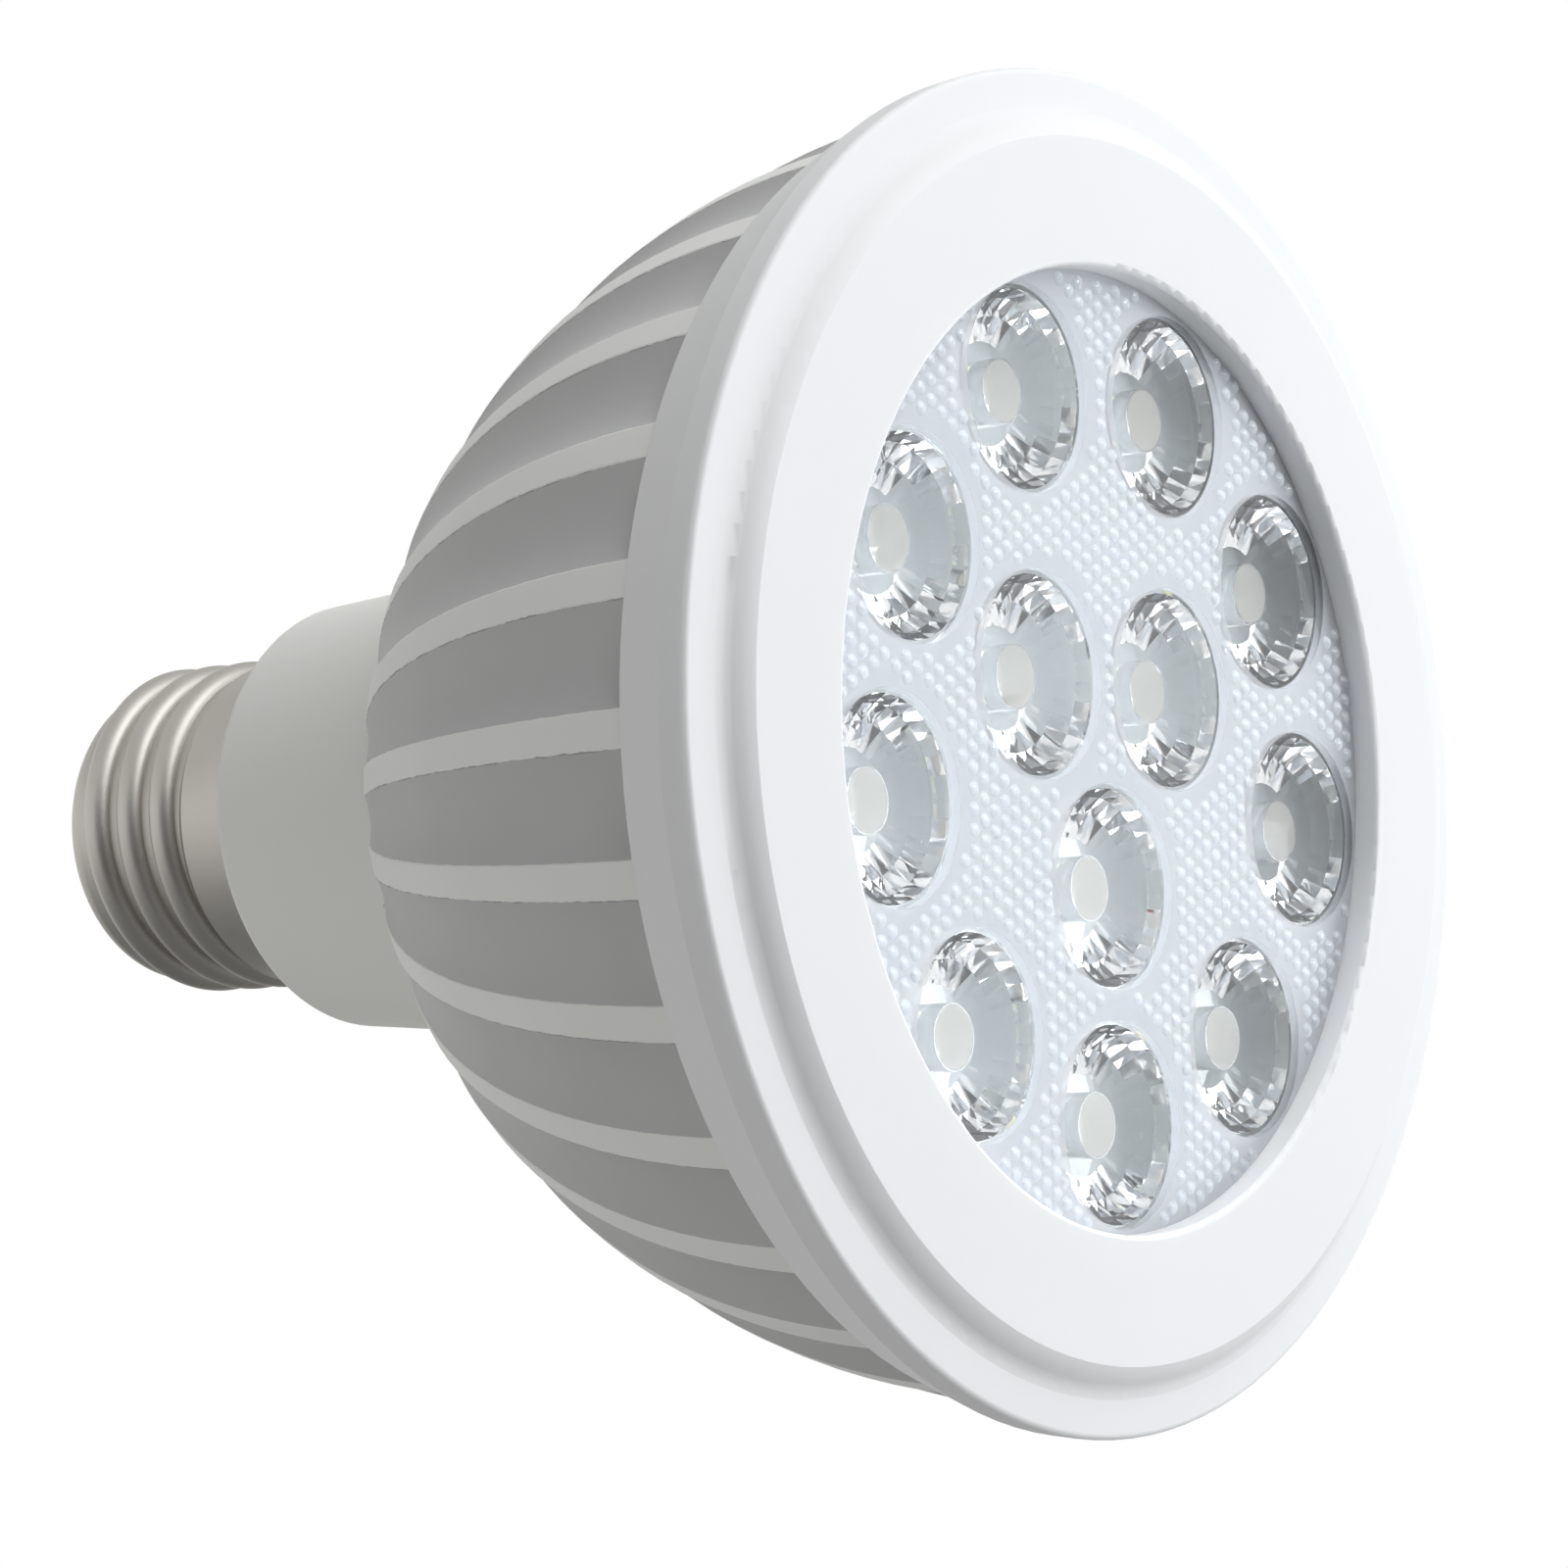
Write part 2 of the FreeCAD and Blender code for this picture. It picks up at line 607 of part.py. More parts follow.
# Driver housing: one white moulding. Its cup passes through the casting, its neck shows
# behind it, and its stub carries the screw shell.
SHELL_SEAT_TOP = f"({NECK_REAR} + shell_seat_length)"
housing = new_body("driver_housing")
revolve(housing, "housing_section", [
    ("cup_radius - cup_wall", HOUSING_FRONT),
    ("cup_radius", HOUSING_FRONT),
    ("cup_radius", NECK_FRONT),
    ("neck_front_radius", NECK_FRONT),
    ("neck_rear_radius", f"{NECK_REAR} - neck_edge_round"),
    ("neck_rear_radius - neck_edge_round", NECK_REAR),
    (SHELL_SEAT_RADIUS, NECK_REAR),
    (SHELL_SEAT_RADIUS, SHELL_SEAT_TOP),
    (STUB_RADIUS, SHELL_SEAT_TOP),
    (STUB_RADIUS, f"{NECK_REAR} + stub_length"),
    (f"{STUB_RADIUS} - stub_wall", f"{NECK_REAR} + stub_length"),
    (f"{STUB_RADIUS} - stub_wall", f"{NECK_REAR} - neck_end_wall"),
    ("cup_radius - cup_wall", f"{NECK_REAR} - neck_end_wall"),
], {4: "neck_edge_round"})
boss = primitive(housing, "AdditiveCylinder", "housing_boss", bore_x, bore_y, HOUSING_FRONT,
                 Radius="boss_radius", Height="boss_length")
boss_hole = primitive(housing, "SubtractiveCylinder", "housing_boss_hole", bore_x, bore_y,
                      HOUSING_FRONT, Radius="screw_radius + screw_hole_clearance",
                      Height="boss_length - stub_wall")
around(housing, "housing_bosses", [boss, boss_hole], "housing_screw_count")

# Screw shell: thin plated sheet with a plain skirt, a rolled thread and a rounded end.
SHELL_END = f"({NECK_REAR} + shell_length)"
SKIRT_INNER = f"({SHELL_SEAT_RADIUS} + shell_fit)"
THREAD_BASE = f"({NECK_REAR} + thread_start)"
shell = new_body("screw_shell")
revolve(shell, "shell_section", [
    (SKIRT_INNER, NECK_REAR),
    (f"{SKIRT_INNER} + shell_wall", NECK_REAR),
    (f"{SKIRT_INNER} + shell_wall", f"{THREAD_BASE} - thread_pitch / 4"),
    ("thread_root_radius", f"{THREAD_BASE}"),
    ("thread_root_radius", f"{SHELL_END} - shell_end_round"),
    (SHELL_END_RADIUS, SHELL_END),
    (f"{SHELL_END_RADIUS} - shell_wall", SHELL_END),
    (f"{SHELL_END_RADIUS} - shell_wall", f"{SHELL_END} - shell_wall"),
    ("thread_root_radius - shell_wall", f"{SHELL_END} - shell_end_round"),
    ("thread_root_radius - shell_wall", f"{THREAD_BASE}"),
    (SKIRT_INNER, f"{THREAD_BASE} - thread_pitch / 4"),
], {4: "shell_end_round * 1.3"})
ridge_outline = outline(shell, "thread_ridge", [
    ("thread_root_radius - shell_wall / 2", f"{THREAD_BASE} - thread_ridge_width / 2"),
    ("thread_root_radius", f"{THREAD_BASE} - thread_ridge_width / 2"),
    ("thread_root_radius", f"{THREAD_BASE} + thread_ridge_width / 2"),
    ("thread_root_radius - shell_wall / 2", f"{THREAD_BASE} + thread_ridge_width / 2"),
], {1: "((thread_ridge_width * thread_ridge_width / 4"
       " + thread_depth ^ 2)"
       " / (2 * thread_depth))"})
ridge = shell.newObject("PartDesign::AdditiveHelix", "thread")
ridge.Profile = ridge_outline
ridge.ReferenceAxis = (ridge_outline, ["V_Axis"])
ridge.Mode = 0
bind(ridge, Pitch="thread_pitch", Height="thread_length")

# Insulator: black glass, held by the rounded end of the shell.
insulator = new_body("base_insulator")
revolve(insulator, "insulator_section", [
    ("contact_bore_radius", f"{SHELL_END} - insulator_seat_depth"),
    (f"{SHELL_END_RADIUS} - shell_wall - shell_fit", f"{SHELL_END} - insulator_seat_depth"),
    (f"{SHELL_END_RADIUS} - shell_wall - shell_fit", SHELL_END),
    ("insulator_tip_radius", f"{SHELL_END} + insulator_height"),
    ("contact_bore_radius", f"{SHELL_END} + insulator_height"),
])

# Centre contact: a plated cap on the tip of the insulator.
CONTACT_BASE = f"({SHELL_END} + insulator_height)"
contact = new_body("centre_contact")
revolve(contact, "contact_section", [
    ("0", CONTACT_BASE),
    ("contact_radius", CONTACT_BASE),
    ("contact_radius", f"{CONTACT_BASE} + contact_height - contact_round"),
    ("contact_radius - contact_round", f"{CONTACT_BASE} + contact_height"),
    ("0", f"{CONTACT_BASE} + contact_height"),
], {2: "contact_round"})


# Driver: a board on edge in the cup, with its components on both faces.
def block(label, x, y, z, width, depth, length):
    """A plain block from its low corner."""
    box = doc.addObject("Part::Box", label)
    bind(box, Length=width, Width=depth, Height=length)
    place(box, x, y, z)
    return box


def barrel(label, radius, height, x, y, z, level=False):
    """A cylinder along Z, or along Y when it lies level."""
    cylinder = doc.addObject("Part::Cylinder", label)
    bind(cylinder, Radius=radius, Height=height)
    if level:
        cylinder.Placement.Rotation = FreeCAD.Rotation(FreeCAD.Vector(1, 0, 0), -90)
    place(cylinder, x, y, z)
    return cylinder


def joined(kind, name, base, tool):
    """A boolean of two objects."""
    result = doc.addObject("Part::" + kind, name)
    result.Base = base
    result.Tool = tool
    return result


BOARD_START = f"({HOUSING_FRONT} + driver_board_front_clearance)"
BOARD_LENGTH = f"({NECK_REAR} - neck_end_wall - driver_board_end_clearance - {BOARD_START})"
BOARD_FACE = "(-driver_board_offset)"
BOARD_BACK = "(-driver_board_offset - driver_board_thickness)"
sub_part(block("driver_board_sheet", "-driver_board_half_width", BOARD_BACK, BOARD_START,
               "2 * driver_board_half_width", "driver_board_thickness", BOARD_LENGTH),
         "driver_board")


def along_board(share):
    """A height on the driver board, by its share of the board's length."""
    return f"({BOARD_START} + {BOARD_LENGTH} * {share})"



CORE_FACE = f"({BOARD_FACE} + core_standoff)"
WINDOW_WIDTH = "((core_width - core_leg) / 2 - core_yoke / 2)"
CORE_START = along_board("core_start_share")
CORE_LENGTH = f"({BOARD_LENGTH} * core_length_share)"
WINDOW_LENGTH = f"({CORE_LENGTH} - 2 * core_yoke)"
core_block = block("core_block", "-core_width / 2", CORE_FACE, CORE_START,
                   "core_width", "core_depth", CORE_LENGTH)
left_window = block("core_left_window", f"-core_leg / 2 - {WINDOW_WIDTH}", CORE_FACE,
                    f"{CORE_START} + core_yoke", WINDOW_WIDTH, "core_depth", WINDOW_LENGTH)
right_window = block("core_right_window", "core_leg / 2", CORE_FACE,
                     f"{CORE_START} + core_yoke", WINDOW_WIDTH, "core_depth", WINDOW_LENGTH)
half_core = joined("Cut", "core_half", core_block, left_window)
sub_part(joined("Cut", "core", half_core, right_window), "transformer_core")

winding_block = block("winding_block", "-winding_width / 2", BOARD_FACE,
                      f"{CORE_START} + core_yoke + winding_gap",
                      "winding_width", "winding_depth", f"{WINDOW_LENGTH} - 2 * winding_gap")
winding_hole = block("winding_hole", "-core_leg / 2 - winding_gap", f"{CORE_FACE} - winding_gap",
                     f"{CORE_START} + core_yoke + winding_gap",
                     "core_leg + 2 * winding_gap", "core_depth + 2 * winding_gap",
                     f"{WINDOW_LENGTH} - 2 * winding_gap")
sub_part(joined("Cut", "winding", winding_block, winding_hole), "transformer_winding")

sub_part(barrel("input_can", "input_capacitor_radius",
                f"{BOARD_LENGTH} * input_capacitor_length_share",
                "-input_capacitor_side", f"{BOARD_FACE} + input_capacitor_radius",
                along_board("input_capacitor_start_share")), "input_capacitor")
sub_part(barrel("output_can", "output_capacitor_radius",
                f"{BOARD_LENGTH} * output_capacitor_length_share",
                "output_capacitor_side", f"{BOARD_FACE} + output_capacitor_radius",
                along_board("output_capacitor_start_share")), "output_capacitor")

CHOKE_RADIUS = f"({BOARD_LENGTH} * choke_radius_share)"
CHOKE_CENTRE = along_board("choke_centre_share")
choke_foot = barrel("choke_foot", CHOKE_RADIUS, "choke_flange",
                    "choke_side", BOARD_FACE, CHOKE_CENTRE, level=True)
choke_waist = barrel("choke_waist", f"{BOARD_LENGTH} * choke_waist_share", "choke_height",
                     "choke_side", BOARD_FACE, CHOKE_CENTRE, level=True)
choke_top = barrel("choke_top", CHOKE_RADIUS, "choke_flange",
                   "choke_side", f"{BOARD_FACE} + choke_height - choke_flange",
                   CHOKE_CENTRE, level=True)
choke_base = joined("Fuse", "choke_base", choke_foot, choke_waist)
sub_part(joined("Fuse", "choke_drum", choke_base, choke_top), "choke")



def flat_component(label, side, y, kind):
    """A block on the driver board, with its sizes named after its kind."""
    box = block(f"{kind}_block", f"{side} - {kind}_width / 2", y,
                along_board(f"{kind}_start_share"), f"{kind}_width", f"{kind}_depth",
                f"{BOARD_LENGTH} * {kind}_length_share")
    sub_part(box, label)


flat_component("film_capacitor", "-film_capacitor_side", BOARD_FACE, "film_capacitor")
flat_component("bridge_rectifier", "-rectifier_side", f"{BOARD_BACK} - rectifier_depth",
               "rectifier")
flat_component("controller_chip", "chip_side", f"{BOARD_BACK} - chip_depth", "chip")
flat_component("switching_transistor", "transistor_side", f"{BOARD_BACK} - transistor_depth",
               "transistor")


# Wires: straight to the LED board, and bent to the contact and to the shell.
def led_wire(label, side):
    """A wire along the driver board and through the LED board, with its solder joint."""
    start = f"({BOARD_FRONT} - led_wire_stub)"
    wire = barrel(f"{label}_core", "wire_radius", f"{BOARD_START} + wire_lap - {start}",
                  side, WIRE_LINE, start)
    solder = doc.addObject("Part::Cone", f"{label}_solder")
    bind(solder, Radius1="wire_radius", Radius2="solder_radius", Height="led_wire_stub")
    place(solder, side, WIRE_LINE, start)
    sub_part(joined("Fuse", f"{label}_joint", wire, solder), label)


led_wire("led_wire_positive", "led_wire_side")
led_wire("led_wire_negative", "-led_wire_side")


def bent_wire(label, route):
    """A round wire along straight runs joined by tangent arcs."""
    corners = [FreeCAD.Vector(*(value(text) for text in point)) for point in route]
    bend = value("wire_bend_radius")
    edges = []
    start = corners[0]
    for before, corner, after in zip(corners, corners[1:], corners[2:]):
        towards = (corner - before).normalize()
        away = (after - corner).normalize()
        turn = towards.getAngle(away)
        trim = bend * math.tan(turn / 2)
        arc_start = corner - towards * trim
        arc_end = corner + away * trim
        inwards = (away - towards).normalize()
        arc_middle = corner + inwards * (bend / math.cos(turn / 2) - bend)
        edges.append(Part.LineSegment(start, arc_start).toShape())
        edges.append(Part.Arc(arc_start, arc_middle, arc_end).toShape())
        start = arc_end
    edges.append(Part.LineSegment(start, corners[-1]).toShape())
    first_run = (corners[1] - corners[0]).normalize()
    section = Part.Wire(Part.makeCircle(value("wire_radius"), corners[0], first_run))
    tube = Part.Wire(edges).makePipeShell([section], True, False)
    feature = doc.addObject("Part::Feature", label)
    feature.Shape = tube
    return sub_part(feature, label)


WIRE_TAIL = f"({BOARD_START} + {BOARD_LENGTH} - wire_lap)"
CROSSING = f"({NECK_REAR} + live_wire_crossing_gap)"
bent_wire("live_wire", [
    ("0", WIRE_LINE, WIRE_TAIL),
    ("0", WIRE_LINE, CROSSING),
    ("0", "0", f"{CROSSING} + live_wire_crossing_length"),
    ("0", "0", f"{CONTACT_BASE} - wire_end_gap"),
])
NEUTRAL_TURN = f"({NECK_REAR} + stub_length + wire_radius + wire_end_gap)"
bent_wire("neutral_wire", [
    ("neutral_wire_side", WIRE_LINE, WIRE_TAIL),
    ("neutral_wire_side", WIRE_LINE, NEUTRAL_TURN),
    ("sqrt((thread_root_radius - shell_wall - wire_end_gap)"
     " * (thread_root_radius - shell_wall - wire_end_gap)"
     " - driver_board_offset * driver_board_offset)", WIRE_LINE, NEUTRAL_TURN),
])

doc.recompute()
for item in doc.Objects:
    problems = {"Invalid", "Error"} & set(item.State)
    if problems:
        raise RuntimeError(f"{item.Label} failed: {item.State}")
for item in SUB_PARTS:
    if item.Shape.isNull() or not item.Shape.isValid() or not item.Shape.Solids:
        raise RuntimeError(f"{item.Label} has no valid solid")
os.makedirs("parts", exist_ok=True)
for item in SUB_PARTS:
    item.Shape.exportStep(f"parts/{item.Label}.step")
    print(item.Label, len(item.Shape.Solids), "solids", round(item.Shape.Volume, 2), "mm3")
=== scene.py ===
import math

import bpy
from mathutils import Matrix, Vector


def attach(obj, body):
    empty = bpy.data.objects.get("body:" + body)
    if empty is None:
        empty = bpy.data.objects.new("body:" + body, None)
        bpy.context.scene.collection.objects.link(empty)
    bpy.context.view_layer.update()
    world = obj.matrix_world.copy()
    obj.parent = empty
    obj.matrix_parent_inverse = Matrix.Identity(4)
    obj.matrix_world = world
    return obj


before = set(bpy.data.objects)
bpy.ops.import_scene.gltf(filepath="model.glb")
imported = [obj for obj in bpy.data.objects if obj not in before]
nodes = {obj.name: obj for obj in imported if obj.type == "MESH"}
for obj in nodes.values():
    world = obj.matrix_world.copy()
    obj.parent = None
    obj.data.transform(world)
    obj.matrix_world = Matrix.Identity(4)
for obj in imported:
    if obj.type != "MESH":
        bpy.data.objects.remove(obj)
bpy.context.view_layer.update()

# Camera: close to the front bezel and a little to the lamp's left, looking along the
# lamp so that the face fills the right of the frame and the screw base the far left.
camera_data = bpy.data.cameras.new("camera")
camera = bpy.data.objects.new("camera", camera_data)
bpy.context.collection.objects.link(camera)
camera_data.sensor_width = 36
camera_data.lens = 99
camera_data.clip_start = 0.01
camera.location = (-0.249886, 0.025582, -0.161138)
camera.rotation_euler = [math.radians(turn) for turn in (-173.5125, 52.3551, 2.4150)]
bpy.context.scene.camera = camera


class Link:
    """One socket of a finish, with the arithmetic that the finishes need."""

    def __init__(self, finish, socket):
        self.finish, self.socket = finish, socket

    def maths(self, operation, *values):
        return self.finish.add("ShaderNodeMath", values, operation=operation)

    def __add__(self, other):
        return self.maths("ADD", self, other)

    def __radd__(self, other):
        return self.maths("ADD", other, self)

    def __sub__(self, other):
        return self.maths("SUBTRACT", self, other)

    def __rsub__(self, other):
        return self.maths("SUBTRACT", other, self)

    def __mul__(self, other):
        return self.maths("MULTIPLY", self, other)

    def __rmul__(self, other):
        return self.maths("MULTIPLY", other, self)

    def __truediv__(self, other):
        return self.maths("DIVIDE", self, other)

    def most(self, other):
        return self.maths("MAXIMUM", self, other)

    def root(self):
        return self.maths("SQRT", self.maths("MAXIMUM", self, 0.0))

    def ramp(self, start, end, low=0.0, high=1.0):
        """Smoothly from low at start to high at end."""
        return self.finish.add("ShaderNodeMapRange",
                               {"Value": self, "From Min": start, "From Max": end,
                                "To Min": low, "To Max": high}, interpolation_type="SMOOTHSTEP")

    def band(self, start, full, fade, end):
        """Smoothly up from start to full, and down from fade to end."""
        return self.ramp(start, full) * self.ramp(fade, end, 1.0, 0.0)

    def other(self, name):
        """Another output of the same node."""
        return Link(self.finish, self.socket.node.outputs[name])


class Finish:
    """A node-based material or surround, built one node at a time."""

    def __init__(self, name, kind="materials"):
        self.data = getattr(bpy.data, kind).new(name)
        self.data.use_nodes = True
        self.tree = self.data.node_tree
        self.tree.nodes.clear()

    def add(self, kind, values=(), output=0, **settings):
        """One node with its settings, then the values or links of its sockets."""
        node = self.tree.nodes.new(kind)
        for name, setting in settings.items():
            setattr(node, name, setting)
        pairs = values.items() if isinstance(values, dict) else enumerate(values)
        for name, value in pairs:
            if isinstance(value, Link):
                self.tree.links.new(value.socket, node.inputs[name])
            else:
                node.inputs[name].default_value = value
        return Link(self, node.outputs[output])

    def place(self):
        """Where the surface point lies on the lamp, in millimetres."""
        metres = self.add("ShaderNodeTexCoord", output="Object")
        return self.add("ShaderNodeVectorMath", {0: metres, "Scale": 1000.0}, operation="SCALE")

    def axes(self):
        """The point's x, y and z, in millimetres."""
        x = self.add("ShaderNodeSeparateXYZ", [self.place()], output="X")
        return x, x.other("Y"), x.other("Z")

    def noise(self, grain, detail=2.0, stretch=(1, 1, 1)):
        """Mottling from 0 to 1 with grains of about that many millimetres."""
        place = self.add("ShaderNodeVectorMath", [self.place(), stretch], operation="MULTIPLY")
        return self.add("ShaderNodeTexNoise",
                        {"Vector": place, "Scale": 1 / grain, "Detail": detail})

    def blend(self, share, low, high):
        """A colour between two colours."""
        return self.add("ShaderNodeMix", {0: share, 6: low, 7: high}, output=2, data_type="RGBA")

    def bump(self, height):
        """A normal that half follows a height in millimetres."""
        return self.add("ShaderNodeBump", {"Height": height, "Distance": 0.001, "Strength": 0.5})

    def shader(self, **values):
        """A principled shader from its sockets by name."""
        return self.add("ShaderNodeBsdfPrincipled",
                        {name.replace("_", " "): value for name, value in values.items()})

    def mix(self, share, low, high):
        """A shader between two shaders."""
        return self.add("ShaderNodeMixShader", [share, low, high])

    def show(self, shader, output="ShaderNodeOutputMaterial"):
        """Join the shader to the output."""
        self.tree.links.new(shader.socket, self.tree.nodes.new(output).inputs["Surface"])


def dress(finish, *pieces):
    """Give pieces one finish."""
    for piece in pieces:
        piece.data.materials.clear()
        piece.data.materials.append(finish.data)


# Studio: a pale floor that only shows from above, a white surround, a large key lamp in
# front of the face, three weaker soft lamps beside, above and behind it, and a small lamp
# that only makes glints.
FLOOR_RADIUS, FLOOR_DROP = 1.2, 0.00005
LENS_DIRECTION = (-0.80, 0.08, -0.59)
AMBIENT = 0.23
AIM = Vector((0, 0, 0.01))
DAYLIGHT = (0.945, 0.97, 1.0)
bpy.context.scene.view_settings.view_transform = "Standard"
bpy.ops.object.select_all(action="DESELECT")
bpy.ops.mesh.primitive_circle_add(vertices=96, radius=FLOOR_RADIUS, fill_type="NGON",
                                  location=(0, 0, -FLOOR_DROP))
floor = bpy.context.object
floor.name = "floor"
floor_finish = Finish("floor")
seen_from_above = floor_finish.add("ShaderNodeLightPath", output="Is Camera Ray") * (
    1 - floor_finish.add("ShaderNodeNewGeometry", output="Backfacing"))
lit = floor_finish.add("ShaderNodeBsdfDiffuse", {"Color": (0.86, 0.86, 0.86, 1)})
glow = floor_finish.add("ShaderNodeEmission", {"Color": (0.9, 0.9, 0.9, 1), "Strength": 1.0})
pale = floor_finish.mix(0.55, lit, glow)
clear = floor_finish.add("ShaderNodeBsdfTransparent")
floor_finish.show(floor_finish.mix(seen_from_above, clear, pale))
dress(floor_finish, floor)

surround = Finish("surround", "worlds")
bpy.context.scene.world = surround.data
direction = surround.add("ShaderNodeTexCoord", output="Generated")
downwards = surround.add("ShaderNodeSeparateXYZ", [direction], output="Y")
towards_lens = surround.add("ShaderNodeVectorMath", [direction, LENS_DIRECTION],
                            operation="DOT_PRODUCT", output="Value")
dark_room = towards_lens.ramp(0.76, 0.94, 1.0, 0.08)
studio = downwards.ramp(-0.1, 0.8, 1.0, 0.2) * downwards.ramp(-0.5, -0.1, 0.7, 1.0) * dark_room
seen = surround.add("ShaderNodeLightPath", output="Is Camera Ray")
level = AMBIENT + seen.other("Is Glossy Ray") * (studio - AMBIENT)
not_scattered = seen.other("Diffuse Depth").ramp(0.2, 0.8, 1.0, 0.0)
through_lens = seen.other("Is Transmission Ray") * not_scattered
level = level + through_lens * (dark_room - level)
level = level + seen * (1.0 - level)
surround.show(surround.add("ShaderNodeBackground", {"Color": (1, 1, 1, 1), "Strength": level}),
              "ShaderNodeOutputWorld")


def softbox(name, place, size, power, colour=(1, 1, 1), glossy=True, diffuse=True):
    """A square area lamp, pointed at the bezel, with its power in watts."""
    data = bpy.data.lights.new(name, "AREA")
    data.shape = "SQUARE"
    data.size = size
    data.energy = power
    data.color = colour
    lamp = bpy.data.objects.new(name, data)
    lamp.location = place
    lamp.rotation_euler = (AIM - Vector(place)).to_track_quat("-Z", "Y").to_euler()
    lamp.visible_glossy, lamp.visible_diffuse = glossy, diffuse
    bpy.context.collection.objects.link(lamp)


softbox("key_lamp", (0.0, -0.52, -0.62), 0.9, 5.8, DAYLIGHT)
softbox("side_lamp", (0.60, 0.15, -0.50), 0.45, 4.5, DAYLIGHT, glossy=False)
softbox("top_lamp", (0.10, -0.80, 0.0), 0.5, 2.35, glossy=False)
softbox("fill_lamp", (-0.55, 0.45, 0.40), 0.5, 1.6, glossy=False)
softbox("glint_lamp", (0.12, -0.30, -0.72), 0.12, 0.7, diffuse=False)

# Front bezel: a white satin moulding, a little translucent, with a raised face round the
# window, a stepped flange and a skirt. Faint waves of the moulding show in its sheen.
WINDOW_EDGE = 33.6
bezel_white = Finish("bezel_white")
grain = bezel_white.noise(0.6, 3.0)
wave = bezel_white.noise(9.0, 1.0)
x, y, _ = bezel_white.axes()
# The inner wall of the window is coloured paler than the face: painted light that lifts the wall
# out of its shade.
window_wall_painted_light = (x * x + y * y).root().ramp(WINDOW_EDGE, WINDOW_EDGE + 0.3, 1.0, 0.0)
tint = bezel_white.blend(bezel_white.noise(22.0, 1.0),
                         (0.775, 0.778, 0.775, 1), (0.80, 0.803, 0.80, 1))
tint = bezel_white.blend(window_wall_painted_light, tint, (0.92, 0.93, 0.94, 1))
bezel_white.show(bezel_white.shader(
    Base_Color=tint, Roughness=0.42 + 0.05 * grain, Normal=bezel_white.bump(0.012 * wave),
    Subsurface_Weight=0.4, Subsurface_Radius=(1, 1, 1), Subsurface_Scale=0.0007))
dress(bezel_white, nodes["bezel_ring"])

# Lens moulding: clear acrylic. Twelve faceted collimators stand behind smooth round
# windows, and the plate between the windows is milky and covered with small bumps.
# The moulding and its bumps let the lamps' light through to the board.
WINDOW_RADIUS = 7.3
RINGS = ((25.88, 9), (9.5, 3))
PLATE_FACE, PLATE_BACK, RECESS_DEPTH, RECESS_RADIUS = 2.1, 3.5, 6.8, 2.4
BUMP_COLUMN, BUMP_PITCH = 1.195, 1.38
BUMP_SPHERE, BUMP_CUT, BUMP_FOOT = 0.00067, 0.00037, 0.00199
BUMP_MARGIN, FIELD_RADIUS = 0.75, 33.0
COLUMNS, ROWS = 29, 50


def lens_distance(finish):
    """How far the point is from the nearest collimator's axis, in millimetres."""
    x, y, z = finish.axes()
    reach = (x * x + y * y).root()
    turn = y.maths("ARCTAN2", y, x) - math.pi / 2
    nearest = None
    for ring, count in RINGS:
        step = 2 * math.pi / count
        swing = (turn / step - (turn / step).maths("ROUND", turn / step)) * step
        cosine = swing.maths("COSINE", swing)
        gap = (reach * reach + ring * ring - 2 * ring * reach * cosine).root()
        nearest = gap if nearest is None else gap.maths("MINIMUM", nearest, gap)
    return nearest, z


def acrylic(finish, roughness=0.01):
    """Clear acrylic with a faint cool cast."""
    return finish.shader(Base_Color=(0.955, 0.985, 1.0, 1), Roughness=roughness, IOR=1.49,
                         Transmission_Weight=1.0)


def milk(finish, roughness=0.3):
    """The frosted white look of the bumped plate."""
    return finish.shader(Base_Color=(0.595, 0.615, 0.645, 1), Roughness=roughness, IOR=1.49)


lens_finish = Finish("lens_acrylic")
distance, depth = lens_distance(lens_finish)
beyond_window = distance.ramp(WINDOW_RADIUS - 0.2, WINDOW_RADIUS)
on_front = depth.ramp(PLATE_FACE - 0.05, PLATE_FACE + 0.05, 1.0, 0.0) * beyond_window
on_back = depth.band(PLATE_BACK - 0.2, PLATE_BACK - 0.1, PLATE_BACK + 0.1, PLATE_BACK + 0.2)
on_back = on_back * beyond_window
on_wall = depth.ramp(PLATE_BACK + 0.05, PLATE_BACK + 0.25) * distance.ramp(2.6, 3.0)
milky = (0.62 * on_front).most(0.9 * on_back).most(0.06 * on_wall)
at_recess = depth.band(RECESS_DEPTH - 0.2, RECESS_DEPTH - 0.1,
                       RECESS_DEPTH + 0.1, RECESS_DEPTH + 0.2)
at_recess = at_recess * distance.ramp(RECESS_RADIUS - 0.35, RECESS_RADIUS, 1.0, 0.0)
cream = lens_finish.shader(Base_Color=(0.40, 0.395, 0.365, 1), Roughness=0.5)
clear_or_milk = lens_finish.mix(milky, acrylic(lens_finish), milk(lens_finish))
lens_finish.show(lens_finish.mix(at_recess * 0.8, clear_or_milk, cream))
dress(lens_finish, nodes["collimator_lens"])
nodes["collimator_lens"].visible_shadow = False

